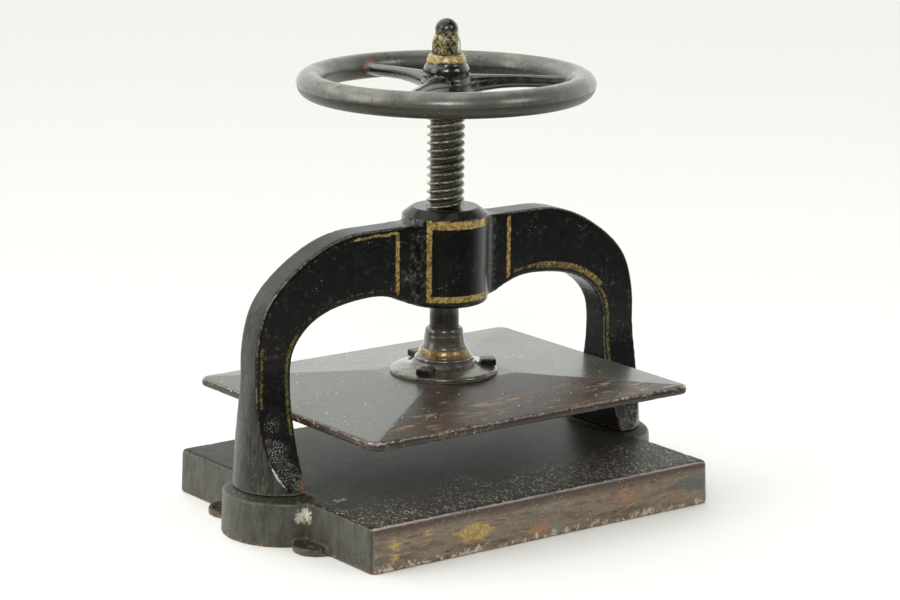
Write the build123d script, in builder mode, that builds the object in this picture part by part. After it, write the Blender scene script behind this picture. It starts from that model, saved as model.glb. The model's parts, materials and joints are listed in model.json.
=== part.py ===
from build123d import *
import math
import os

# Bookbinder's nipping press in cast iron: a ribbed bed, an arched yoke bolted to it from
# below, a double-start screw with a handwheel, and a hipped platen that hangs from the
# screw in a bell-shaped collar.
# Millimetres, +Z up. The origin is the centre of the bed's underside. X runs along the
# yoke, from leg to leg, and the front is towards -Y. The press stands open, as it is left.

os.makedirs("parts", exist_ok=True)

# Platen: a little over 10 by 12 1/2 inches, the letter-copying size.
platen_length = 322.0
platen_width = 258.0
platen_corner = 9.0
platen_edge = 7.0
platen_bottom = 93.5
platen_apex_rise = 12.4
platen_arris = 1.2

# Bed casting.
base_length = 345.0
base_depth = 285.0
base_height = 37.0
base_corner = 6.0
base_arris = 3.6
base_foot_arris = 1.2
base_draft = 1.2
base_end_wall = 22.0
base_side_wall = 12.0
base_rib = 9.0
base_top_plate = 12.0

# Round lugs at the two ends of the bed, which carry the yoke's feet.
lug_x = 158.0
lug_radius = 53.0
lug_draft_angle = 2.0
lug_arris = 5.0

# Screw-down ears beside the lugs.
ear_x = 171.0
ear_y = 62.5
ear_radius = 19.0
ear_height = 6.0
ear_arris = 1.5
ear_hole_x = 181.0
ear_hole_y = 67.0
ear_hole_diameter = 8.0

# Feet and legs of the yoke. A foot is a half round with its flat side to the platen.
foot_x = 162.5
foot_radius = 40.2
foot_bottom = 39.0
pad_margin = 2.8
leg_top = 127.0
leg_inner_x = 161.5
leg_outer_x = 194.2
arm_depth = 25.4
foot_half_depth = 38.7
leg_flare_power = 1.85

# Arms and boss of the yoke.
arm_top = 240.0
arm_flat_x = 88.0
arch_crown = 184.7
arm_arris = 1.8
arch_arris = 1.0
boss_radius = 36.0
boss_bottom = 169.5
boss_top = 250.0
boss_top_radius = 27.8
boss_bottom_round = 6.0
boss_web_z = 171.5
boss_web_x = 52.0
boss_shoulder_z = 244.0
boss_blend = 15.0

# Double-start right-hand screw.
screw_major = 31.8
screw_minor = 25.4
screw_pitch = 6.75
screw_starts = 2
screw_lead = screw_pitch * screw_starts
thread_bottom = 174.0
thread_top = 327.0
thread_clearance = 0.35
shank_diameter = 24.5
shoulder_top = 332.0
seat_across = 19.0
seat_top = 374.0
stud_diameter = 13.6
stud_top = 391.0

# Handwheel.
wheel_z = 352.0
rim_radius = 112.0
rim_width = 22.6
rim_height = 21.4
rim_lip = 0.7
spoke_count = 3
spoke_start_angle = 93.0
hub_top = 376.5
seat_clearance = 0.1

# Acorn nut.
nut_across_flats = 21.6
nut_corner_angle = 40.0
nut_hex_top = 391.5
dome_radius = 9.75
dome_centre = 395.9

# Collar, its bolts, and the fixing at the foot of the screw.
collar_radius = 45.0
collar_top = 148.5
collar_bore = 24.66
collar_bolt_radius = 37.0
collar_bolt_count = 3
collar_bolt_start_angle = 90.0
collar_bolt_diameter = 7.8
collar_bolt_head = 12.7
collar_bolt_head_height = 6.0
collar_seat_z = 114.3
collar_bolt_reach = 10.0
thread_gap = 0.1
platen_pad_z = 109.3
recess_diameter = 38.0
recess_floor = 102.0
retainer_diameter = 36.0
retainer_bottom = 102.3
retainer_top = 109.0
retainer_screw_diameter = 9.6
retainer_screw_reach = 22.0
retainer_head_diameter = 20.0

# Bolts that hold the yoke's feet from beneath the bed.
yoke_bolt_x = 178.0
yoke_bolt_y = 15.0
yoke_bolt_diameter = 12.4
yoke_bolt_head = 19.0
yoke_bolt_head_height = 8.0
washer_diameter = 26.0
washer_thickness = 2.5
bolt_recess_depth = 14.0
bolt_recess_width = 29.0
bolt_hole_clearance = 0.5
yoke_bolt_reach = 24.0


def save(builder, name):
    """Label a finished piece and write it as its own STEP file."""
    builder.part.label = name
    export_step(builder.part, f"parts/{name}.step")


# ---------------------------------------------------------------- base casting

# One round lug with a softened rim, made apart so that its rim can be rounded first.
with BuildPart() as lug:
    with BuildSketch():
        Circle(lug_radius)
    extrude(amount=base_height, taper=lug_draft_angle)
    fillet(lug.edges().group_by(Axis.Z)[-1], radius=lug_arris)

# One screw-down ear, round like a penny.
with BuildPart() as ear:
    with BuildSketch():
        Circle(ear_radius)
    extrude(amount=ear_height)
    fillet(ear.edges().group_by(Axis.Z)[-1], radius=ear_arris)

pocket_length = (base_length - 2 * base_end_wall - base_rib) / 2
pocket_width = (base_depth - 2 * base_side_wall - base_rib) / 2
pocket_depth = base_height - base_top_plate
pad_radius = foot_radius + pad_margin
pad_inner_x = foot_x - (pad_margin - 0.8)

with BuildPart() as base_casting:
    with BuildSketch():
        RectangleRounded(base_length, base_depth, base_corner)
    extrude(amount=base_height, taper=math.degrees(math.atan(base_draft / base_height)))
    fillet(base_casting.edges().group_by(Axis.Z)[-1], radius=base_arris)
    fillet(base_casting.edges().group_by(Axis.Z)[0], radius=base_foot_arris)
    with Locations((lug_x, 0), (-lug_x, 0)):
        add(lug.part)
    with GridLocations(2 * ear_x, 2 * ear_y, 2, 2):
        add(ear.part)
    # Low half-round pads under the feet.
    for side in (1, -1):
        with BuildSketch(Plane.XY.offset(base_height - base_arris)):
            with Locations((side * foot_x, 0)):
                Circle(pad_radius)
            with Locations((side * (pad_inner_x + pad_radius), 0)):
                Rectangle(2 * pad_radius, 2 * pad_radius, mode=Mode.INTERSECT)
        extrude(amount=foot_bottom - base_height + base_arris)
    # Four pockets under the bed, with a crossed rib between them.
    with BuildSketch():
        with GridLocations(pocket_length + base_rib, pocket_width + base_rib, 2, 2):
            RectangleRounded(pocket_length, pocket_width, base_corner)
    extrude(amount=pocket_depth, mode=Mode.SUBTRACT)
    # Recesses for the heads of the yoke bolts, and the bolts' clearance holes.
    with BuildSketch():
        with Locations((yoke_bolt_x, 0), (-yoke_bolt_x, 0)):
            SlotCenterToCenter(2 * yoke_bolt_y, bolt_recess_width, rotation=90)
    extrude(amount=bolt_recess_depth, mode=Mode.SUBTRACT)
    with BuildSketch():
        with GridLocations(2 * yoke_bolt_x, 2 * yoke_bolt_y, 2, 2):
            Circle(yoke_bolt_diameter / 2 + bolt_hole_clearance)
        with GridLocations(2 * ear_hole_x, 2 * ear_hole_y, 2, 2):
            Circle(ear_hole_diameter / 2)
    extrude(amount=foot_bottom, mode=Mode.SUBTRACT)
save(base_casting, "base_casting")


# ---------------------------------------------------------------- thread form

def thread_section(major_radius, minor_radius):
    """Cross-section of the double-start thread: two lobes between the root and crest circles.

    A square-ish thread cut across its axis shows each start as a crest arc and a root arc,
    joined by short flanks, so turning the section as it rises gives the helix.
    """
    crest_half = 24.0
    flank = 32.0
    points = []
    for start in range(screw_starts):
        middle = start * 360.0 / screw_starts
        for angle, radius in (
            (middle - crest_half - flank, minor_radius),
            (middle - crest_half, major_radius),
            (middle + crest_half, major_radius),
            (middle + crest_half + flank, minor_radius),
        ):
            points.append((angle, radius))
    with BuildSketch(mode=Mode.PRIVATE) as section:
        with BuildLine():
            for index, (angle, radius) in enumerate(points):
                next_angle, next_radius = points[(index + 1) % len(points)]
                if next_angle < angle:
                    next_angle += 360.0
                start_point = Vector(radius, 0).rotate(Axis.Z, angle)
                end_point = Vector(next_radius, 0).rotate(Axis.Z, next_angle)
                if radius == next_radius:
                    middle_point = Vector(radius, 0).rotate(Axis.Z, (angle + next_angle) / 2)
                    ThreePointArc(start_point, middle_point, end_point)
                else:
                    Line(start_point, end_point)
        make_face()
    return section.sketch.face()


def threaded_rod(major_radius, minor_radius, bottom, top):
    """Solid rod with the right-hand double-start thread from bottom to top."""
    face = thread_section(major_radius, minor_radius)
    height = top - bottom
    turn = 360.0 * height / screw_lead
    start_turn = 360.0 * bottom / screw_lead
    rod = Solid.extrude_linear_with_rotation(face, (0, 0, 0), (0, 0, height), turn)
    return rod.rotate(Axis.Z, start_turn).moved(Location((0, 0, bottom)))


# ---------------------------------------------------------------- yoke casting

def leg_profile(height):
    """Half depth of the leg and radius of its outer face at a height, from foot to arm."""
    drop = (leg_top - height) / (leg_top - foot_bottom)
    half_depth = arm_depth / 2 + (foot_half_depth - arm_depth / 2) * drop ** leg_flare_power
    crease_radius = math.hypot(leg_outer_x - foot_x, arm_depth / 2)
    radius = crease_radius + (foot_radius - crease_radius) * drop
    crease_x = foot_x + math.sqrt(radius ** 2 - half_depth ** 2)
    crown = (radius - (crease_x - foot_x)) * min(1.0, 0.12 + 1.6 * drop)
    outer_x = crease_x + crown
    inner_x = leg_inner_x + (foot_x - leg_inner_x) * drop
    return half_depth, inner_x, crease_x, outer_x


def leg_section(side, height):
    """One level of a leg: flat inner face, flat front and back, and a rounded outer face."""
    half_depth, inner_x, crease_x, outer_x = leg_profile(height)
    with BuildSketch(Plane.XY.offset(height), mode=Mode.PRIVATE) as section:
        with BuildLine():
            Polyline(
                (side * crease_x, half_depth),
                (side * inner_x, half_depth),
                (side * inner_x, -half_depth),
                (side * crease_x, -half_depth),
            )
            ThreePointArc(
                (side * crease_x, -half_depth),
                (side * outer_x, 0),
                (side * crease_x, half_depth),
            )
        make_face()
    return section.sketch.face()


leg_levels = [foot_bottom, 47.0, 57.0, 69.0, 83.0, 98.0, 112.0, leg_top]

# Front view of the arch, drawn as one closed outline.
with BuildSketch(Plane.XZ) as arch_outline:
    with BuildLine():
        for side in (1, -1):
            Line((0, arm_top), (side * arm_flat_x, arm_top))
            Spline(
                (side * arm_flat_x, arm_top),
                (side * 127.0, 232.4),
                (side * 163.5, 210.6),
                (side * 186.0, 184.0),
                (side * 193.2, 157.0),
                (side * leg_outer_x, leg_top),
                tangents=((side, 0), (0, -1)),
            )
            Line((side * leg_outer_x, leg_top), (side * leg_inner_x, leg_top))
            Spline(
                (side * leg_inner_x, leg_top),
                (side * 158.6, 150.5),
                (side * 145.5, 167.6),
                (side * 119.8, 180.2),
                (side * 90.0, arch_crown),
                (side * 63.5, 182.4),
                (side * 45.4, 175.2),
                (side * 30.0, boss_web_z),
                tangents=((0, 1), (-side, -0.2)),
            )
            Line((side * 30.0, boss_web_z), (0, boss_web_z))
    make_face()

# Web round the boss: the arms widen into it through hollow corners.
with BuildPart() as boss_web:
    with BuildSketch(Plane.XY.offset(boss_web_z)) as plan:
        Rectangle(2 * boss_web_x, arm_depth)
        Circle(boss_radius)
        fillet(
            [v for v in plan.vertices() if abs(v.X) < boss_radius + 1],
            radius=boss_blend,
        )
    extrude(amount=arm_top - boss_web_z)
    extrude(arch_outline.sketch, amount=boss_radius, both=True, mode=Mode.INTERSECT)

with BuildPart() as yoke_casting:
    extrude(arch_outline.sketch, amount=arm_depth / 2, both=True)
    # Soften the long front and back edges of the arms, the outer ones more.
    for arris, is_outer in ((arm_arris, True), (arch_arris, False)):
        fillet(
            [
                edge
                for edge in yoke_casting.edges()
                if abs(abs(edge.center().Y) - arm_depth / 2) < 0.01
                and edge.center().Z > leg_top + 1
                and (edge.center().Z > arch_crown or abs(edge.center().X) > leg_inner_x) == is_outer
            ],
            radius=arris,
        )
    add(boss_web.part)
    # Legs, which spread into half-round feet.
    for side in (1, -1):
        loft(sections=[leg_section(side, height) for height in leg_levels])
    # Round boss with a bevelled shoulder on top, softened below.
    with BuildSketch(Plane.XZ):
        with BuildLine():
            Polyline(
                (boss_radius, boss_bottom + boss_bottom_round),
                (boss_radius, boss_shoulder_z),
                (boss_top_radius, boss_top),
                (0, boss_top),
                (0, boss_bottom),
                (boss_radius - boss_bottom_round, boss_bottom),
            )
            RadiusArc(
                (boss_radius - boss_bottom_round, boss_bottom),
                (boss_radius, boss_bottom + boss_bottom_round),
                -boss_bottom_round,
            )
        make_face()
    revolve(axis=Axis.Z)
    # Tapped holes for the bolts that come up through the bed.
    with BuildSketch(Plane.XY.offset(foot_bottom)):
        with GridLocations(2 * yoke_bolt_x, 2 * yoke_bolt_y, 2, 2):
            Circle(yoke_bolt_diameter / 2 + thread_gap)
    extrude(amount=yoke_bolt_reach + 4.0, mode=Mode.SUBTRACT)
    # The screw's thread, cut right through the boss.
    add(
        threaded_rod(
            screw_major / 2 + thread_clearance,
            screw_minor / 2 + thread_clearance,
            boss_bottom - 1.0,
            boss_top + 1.0,
        ),
        mode=Mode.SUBTRACT,
    )
save(yoke_casting, "yoke_casting")


# ---------------------------------------------------------------- yoke bolts and washers

washer_bottom = bolt_recess_depth - washer_thickness

for side_name, side in (("left", -1), ("right", 1)):
    for end_name, end in (("front", -1), ("back", 1)):
        seat = Plane((side * yoke_bolt_x, end * yoke_bolt_y, washer_bottom))
        with BuildPart(seat) as yoke_washer:
            Cylinder(
                washer_diameter / 2, washer_thickness, align=(Align.CENTER, Align.CENTER, Align.MIN)
            )
            Hole(yoke_bolt_diameter / 2 + bolt_hole_clearance)
            chamfer(yoke_washer.edges().group_by(Axis.Z)[0].sort_by(SortBy.LENGTH)[-1], length=0.6)
        save(yoke_washer, f"yoke_washer_{side_name}_{end_name}")
        with BuildPart(seat) as yoke_bolt:
            with BuildSketch(seat):
                RectangleRounded(yoke_bolt_head, yoke_bolt_head, 1.0)
            extrude(amount=-yoke_bolt_head_height)
            with BuildSketch(seat):
                Circle(yoke_bolt_diameter / 2)
            extrude(amount=foot_bottom + yoke_bolt_reach - washer_bottom)
            chamfer(yoke_bolt.edges().group_by(Axis.Z)[-1], length=1.2)
            chamfer(yoke_bolt.faces().sort_by(Axis.Z)[0].edges(), length=0.9)
        save(yoke_bolt, f"yoke_bolt_{side_name}_{end_name}")


# ---------------------------------------------------------------- platen

platen_edge_top = platen_bottom + platen_edge

with BuildPart() as platen:
    with BuildSketch(Plane.XY.offset(platen_bottom)):
        RectangleRounded(platen_length, platen_width, platen_corner)
    extrude(amount=platen_pad_z - platen_bottom)
    fillet(platen.edges().group_by(Axis.Z)[0], radius=platen_arris)
    # Four slopes that rise from the top of the edge and meet in sharp hips.
    for toward_x, toward_y in ((1, 0), (-1, 0), (0, 1), (0, -1)):
        reach = platen_length / 2 if toward_x else platen_width / 2
        slope = Plane(
            origin=(toward_x * reach, toward_y * reach, platen_edge_top),
            z_dir=(toward_x * platen_apex_rise, toward_y * platen_apex_rise, reach),
        )
        split(bisect_by=slope, keep=Keep.BOTTOM)
    # Flat round seat for the collar.
    with BuildSketch(Plane.XY.offset(platen_edge_top)):
        Circle(collar_radius + 1.0)
    extrude(amount=platen_pad_z - platen_edge_top)
    # Recess for the disc on the end of the screw, and tapped holes for the collar bolts.
    with BuildSketch(Plane.XY.offset(platen_pad_z)):
        Circle(recess_diameter / 2)
    extrude(amount=recess_floor - platen_pad_z, mode=Mode.SUBTRACT)
    with BuildSketch(Plane.XY.offset(platen_pad_z)):
        with PolarLocations(collar_bolt_radius, collar_bolt_count, collar_bolt_start_angle):
            Circle(collar_bolt_diameter / 2 + thread_gap)
    extrude(amount=-collar_bolt_reach - 1.5, mode=Mode.SUBTRACT)
save(platen, "platen")


# ---------------------------------------------------------------- platen collar

with BuildPart() as platen_collar:
    # Thin flange, then a bell with a bead, a groove and a raised band, and a rounded cap.
    with BuildSketch(Plane.XZ):
        with BuildLine():
            Polyline(
                (collar_bore / 2, platen_pad_z),
                (collar_radius, platen_pad_z),
                (collar_radius, platen_pad_z + 2.0),
            )
            ThreePointArc(
                (collar_radius, platen_pad_z + 2.0),
                (collar_radius - 0.8, platen_pad_z + 3.6),
                (collar_radius - 2.6, platen_pad_z + 4.4),
            )
            Line((collar_radius - 2.6, platen_pad_z + 4.4), (31.0, 115.6))
            ThreePointArc((31.0, 115.6), (28.0, 117.0), (25.9, 119.6))
            Line((25.9, 119.6), (24.2, 120.6))
            ThreePointArc((24.2, 120.6), (24.7, 122.1), (23.5, 123.6))
            Line((23.5, 123.6), (22.2, 124.2))
            Line((22.2, 124.2), (22.0, 125.8))
            ThreePointArc((22.0, 125.8), (21.1, 128.2), (19.9, 130.4))
            Line((19.9, 130.4), (18.8, 131.0))
            ThreePointArc((18.8, 131.0), (17.3, 136.0), (16.5, 141.6))
            Line((16.5, 141.6), (15.8, 142.3))
            ThreePointArc((15.8, 142.3), (15.5, 146.4), (13.1, collar_top))
            Line((13.1, collar_top), (collar_bore / 2, collar_top))
            Line((collar_bore / 2, collar_top), (collar_bore / 2, platen_pad_z))
        make_face()
    revolve(axis=Axis.Z)
    # Level seats for the square bolt heads, and their clearance holes.
    with BuildSketch(Plane.XY.offset(collar_seat_z)):
        with PolarLocations(collar_bolt_radius, collar_bolt_count, collar_bolt_start_angle):
            Rectangle(collar_bolt_head + 0.8, collar_bolt_head + 0.8)
    extrude(amount=4.0, mode=Mode.SUBTRACT)
    with BuildSketch(Plane.XY.offset(platen_pad_z)):
        with PolarLocations(collar_bolt_radius, collar_bolt_count, collar_bolt_start_angle):
            Circle(collar_bolt_diameter / 2 + bolt_hole_clearance)
    extrude(amount=collar_seat_z - platen_pad_z, mode=Mode.SUBTRACT)
save(platen_collar, "platen_collar")

for number in range(collar_bolt_count):
    angle = collar_bolt_start_angle + number * 360.0 / collar_bolt_count
    bolt_place = Plane(
        origin=Vector(collar_bolt_radius, 0, collar_seat_z).rotate(Axis.Z, angle),
        x_dir=Vector(1, 0, 0).rotate(Axis.Z, angle),
        z_dir=(0, 0, 1),
    )
    with BuildPart() as collar_bolt:
        with BuildSketch(bolt_place):
            Rectangle(collar_bolt_head, collar_bolt_head)
        extrude(amount=collar_bolt_head_height)
        chamfer(collar_bolt.faces().sort_by(Axis.Z)[-1].edges(), length=0.7)
        with BuildSketch(bolt_place):
            Circle(collar_bolt_diameter / 2)
        extrude(amount=platen_pad_z - collar_seat_z - collar_bolt_reach)
    save(collar_bolt, f"collar_bolt_{number + 1}")


# ---------------------------------------------------------------- screw spindle

with BuildPart() as screw_spindle:
    add(threaded_rod(screw_major / 2, screw_minor / 2, thread_bottom, thread_top))
    # Plain shank and journal below, shoulder above, square seat for the wheel, stud on top.
    with BuildSketch(Plane.XZ):
        with BuildLine():
            Polyline(
                (0, retainer_top),
                (shank_diameter / 2, retainer_top),
                (shank_diameter / 2, thread_bottom + 1.0),
                (0, thread_bottom + 1.0),
                (0, retainer_top),
            )
        make_face()
    revolve(axis=Axis.Z)
    with BuildSketch(Plane.XY.offset(thread_top)):
        Circle(screw_major / 2)
    extrude(amount=shoulder_top - thread_top)
    with BuildSketch(Plane.XY.offset(shoulder_top)):
        RectangleRounded(seat_across, seat_across, 1.0)
    extrude(amount=seat_top - shoulder_top)
    with BuildSketch(Plane.XY.offset(seat_top)):
        Circle(stud_diameter / 2)
    extrude(amount=stud_top - seat_top)
    chamfer(screw_spindle.edges().group_by(Axis.Z)[-1], length=1.5)
    with BuildSketch(Plane.XY.offset(retainer_top)):
        Circle(retainer_screw_diameter / 2 + thread_gap)
    extrude(amount=retainer_screw_reach + 2.0, mode=Mode.SUBTRACT)
save(screw_spindle, "screw_spindle")


# ---------------------------------------------------------------- disc at the spindle's foot

head_depth = (retainer_head_diameter - retainer_screw_diameter) / 2
head_sink = 0.6

with BuildPart() as retaining_washer:
    with BuildSketch(Plane.XY.offset(retainer_bottom)):
        Circle(retainer_diameter / 2)
    extrude(amount=retainer_top - retainer_bottom)
    chamfer(retaining_washer.edges(), length=0.5)
    with Locations(Plane.XY.offset(retainer_bottom)):
        with Locations(Location((0, 0, 0), (180, 0, 0))):
            CounterSinkHole(
                retainer_screw_diameter / 2 + thread_gap,
                retainer_head_diameter / 2 + head_sink,
                counter_sink_angle=90,
            )
save(retaining_washer, "retaining_washer")

with BuildPart() as retaining_screw:
    with BuildSketch(Plane.XZ):
        with BuildLine():
            Polyline(
                (0, retainer_bottom + head_sink),
                (retainer_head_diameter / 2, retainer_bottom + head_sink),
                (retainer_screw_diameter / 2, retainer_bottom + head_sink + head_depth),
                (retainer_screw_diameter / 2, retainer_top + retainer_screw_reach),
                (0, retainer_top + retainer_screw_reach),
                (0, retainer_bottom + head_sink),
            )
        make_face()
    revolve(axis=Axis.Z)
    with BuildSketch(Plane.XY.offset(retainer_bottom)):
        Rectangle(1.6, retainer_head_diameter + 2)
    extrude(amount=head_sink + 2.0, mode=Mode.SUBTRACT)
save(retaining_screw, "retaining_screw")


# ---------------------------------------------------------------- handwheel

def spoke_section(angle, radius, height, width, depth):
    """Oval section of a spoke, square to its length."""
    place = Plane(
        origin=Vector(radius, 0, height).rotate(Axis.Z, angle),
        x_dir=Vector(0, 1, 0).rotate(Axis.Z, angle),
        z_dir=Vector(1, 0, 0).rotate(Axis.Z, angle),
    )
    with BuildSketch(place, mode=Mode.PRIVATE) as section:
        Ellipse(width / 2, depth / 2)
    return section.sketch.face()


with BuildPart() as handwheel:
    # Rim: two round halves, the lower one a shade smaller, so a parting line runs outside.
    with BuildSketch(Plane.XZ):
        with BuildLine():
            ThreePointArc(
                (rim_radius - rim_width / 2, wheel_z),
                (rim_radius, wheel_z + rim_height / 2),
                (rim_radius + rim_width / 2, wheel_z),
            )
            Line(
                (rim_radius + rim_width / 2, wheel_z),
                (rim_radius + rim_width / 2 - rim_lip, wheel_z - rim_lip),
            )
            ThreePointArc(
                (rim_radius + rim_width / 2 - rim_lip, wheel_z - rim_lip),
                (rim_radius, wheel_z - rim_height / 2),
                (rim_radius - rim_width / 2, wheel_z),
            )
        make_face()
    revolve(axis=Axis.Z)
    # Hub: a drum at spoke level, a rounded bead, a groove and a conical collar.
    with BuildSketch(Plane.XZ):
        with BuildLine():
            Polyline((0, shoulder_top), (18.0, shoulder_top), (21.4, 337.0), (21.4, 353.6))
            ThreePointArc((21.4, 353.6), (19.5, 356.2), (18.5, 358.8))
            ThreePointArc((18.5, 358.8), (19.3, 363.0), (17.3, 367.6))
            Line((17.3, 367.6), (15.9, 369.6))
            Line((15.9, 369.6), (16.6, 370.8))
            Line((16.6, 370.8), (14.6, 375.7))
            Line((14.6, 375.7), (13.6, hub_top))
            Line((13.6, hub_top), (0, hub_top))
            Line((0, hub_top), (0, shoulder_top))
        make_face()
    revolve(axis=Axis.Z)
    for number in range(spoke_count):
        spoke_angle = spoke_start_angle + number * 360.0 / spoke_count
        loft(
            sections=[
                spoke_section(spoke_angle, 8.0, 350.0, 27.0, 19.0),
                spoke_section(spoke_angle, 24.0, 351.4, 18.0, 15.6),
                spoke_section(spoke_angle, 42.0, 352.6, 11.6, 12.4),
                spoke_section(spoke_angle, 70.0, 352.4, 9.8, 10.4),
                spoke_section(spoke_angle, 106.0, wheel_z, 10.6, 9.0),
            ]
        )
    with BuildSketch(Plane.XY.offset(shoulder_top)):
        Rectangle(seat_across + 2 * seat_clearance, seat_across + 2 * seat_clearance)
    extrude(amount=hub_top - shoulder_top, mode=Mode.SUBTRACT)
save(handwheel, "handwheel")


# ---------------------------------------------------------------- acorn nut

with BuildPart() as acorn_nut:
    with BuildSketch(Plane.XY.offset(hub_top)):
        RegularPolygon(
            nut_across_flats / 2, 6, major_radius=False, rotation=nut_corner_angle
        )
    extrude(amount=nut_hex_top - hub_top)
    # A turned cone rounds off the corners of the six sides.
    with BuildSketch(Plane.XZ):
        with BuildLine():
            Polyline(
                (0, hub_top),
                (nut_across_flats / 2 + 0.9, hub_top),
                (nut_across_flats / 2 + 1.7, hub_top + 1.4),
                (nut_across_flats / 2 + 1.7, nut_hex_top - 5.4),
                (nut_across_flats / 2 - 0.8, nut_hex_top),
                (0, nut_hex_top),
                (0, hub_top),
            )
        make_face()
    revolve(axis=Axis.Z, mode=Mode.INTERSECT)
    with BuildSketch(Plane.XZ):
        with BuildLine():
            Polyline((0, dome_centre + dome_radius), (0, hub_top + 1), (dome_radius, hub_top + 1))
            Line((dome_radius, hub_top + 1), (dome_radius, dome_centre))
            RadiusArc(
                (dome_radius, dome_centre), (0, dome_centre + dome_radius), -dome_radius
            )
        make_face()
    revolve(axis=Axis.Z)
    with BuildSketch(Plane.XY.offset(hub_top)):
        Circle(stud_diameter / 2 + thread_gap)
    extrude(amount=stud_top + 1.5 - hub_top, mode=Mode.SUBTRACT)
save(acorn_nut, "acorn_nut")
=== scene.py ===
import json
import math

import bmesh
import bpy
import numpy as np
from mathutils import Euler, Matrix, Vector
from mathutils.kdtree import KDTree


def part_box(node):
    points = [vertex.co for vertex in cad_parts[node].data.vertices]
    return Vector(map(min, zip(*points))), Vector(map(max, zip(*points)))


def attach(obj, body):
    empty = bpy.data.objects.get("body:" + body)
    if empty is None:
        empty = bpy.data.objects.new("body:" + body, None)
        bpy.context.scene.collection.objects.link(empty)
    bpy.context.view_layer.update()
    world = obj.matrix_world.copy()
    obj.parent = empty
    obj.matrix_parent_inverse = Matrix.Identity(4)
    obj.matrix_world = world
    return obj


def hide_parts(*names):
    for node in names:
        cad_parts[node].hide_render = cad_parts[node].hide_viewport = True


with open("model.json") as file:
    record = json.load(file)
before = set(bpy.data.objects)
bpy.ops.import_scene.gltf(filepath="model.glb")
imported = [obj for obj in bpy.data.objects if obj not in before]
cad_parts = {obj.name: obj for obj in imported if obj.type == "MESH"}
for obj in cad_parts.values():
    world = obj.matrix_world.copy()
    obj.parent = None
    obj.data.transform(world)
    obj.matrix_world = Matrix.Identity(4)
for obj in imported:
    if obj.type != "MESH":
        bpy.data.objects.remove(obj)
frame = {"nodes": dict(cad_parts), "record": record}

# The looks of the nipping press: a finer mesh for each casting, laid on the CAD surface and
# worn back from it, and procedural finishes of japan, worn iron, rust and old gold paint.
# Metres, in the CAD frame: +Z up, -Y the front, the bed's underside at z 0.

MM = 0.001
scene = bpy.context.scene
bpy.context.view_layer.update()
nodes = frame["nodes"]


# ---------------------------------------------------------------- camera, light and floor

camera_place = Vector((-1.504, -2.032, 0.756))
camera_yaw = 36.613
camera_pitch = -13.05
camera_roll = 0.52
camera_lens = 124.95
floor_reach = 30.0
near_floor_reach = 0.48
near_floor_lift = 0.1 * MM


def make_camera():
    """The camera stands off the front left corner, looking slightly down."""
    camera = bpy.data.objects.new("camera", bpy.data.cameras.new("camera"))
    scene.collection.objects.link(camera)
    camera.data.lens = camera_lens
    camera.data.sensor_width = 36.0
    camera.data.clip_start = 0.05
    camera.location = camera_place
    turn = Euler((math.radians(90.0 + camera_pitch), 0.0, math.radians(-camera_yaw)), "XYZ").to_matrix()
    roll = Matrix.Rotation(math.radians(camera_roll), 3, "Z")
    camera.rotation_euler = (turn @ roll).to_euler()
    scene.camera = camera


def area_light(name, place, target, size, power, colour=(1.0, 1.0, 1.0)):
    """A softbox at place, facing target."""
    lamp = bpy.data.lights.new(name, "AREA")
    lamp.shape = "RECTANGLE"
    lamp.size, lamp.size_y = size
    lamp.energy = power
    lamp.color = colour
    light = bpy.data.objects.new(name, lamp)
    scene.collection.objects.link(light)
    light.location = place
    facing = Vector(target) - Vector(place)
    light.rotation_euler = facing.to_track_quat("-Z", "Y").to_euler()
    return light


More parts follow.
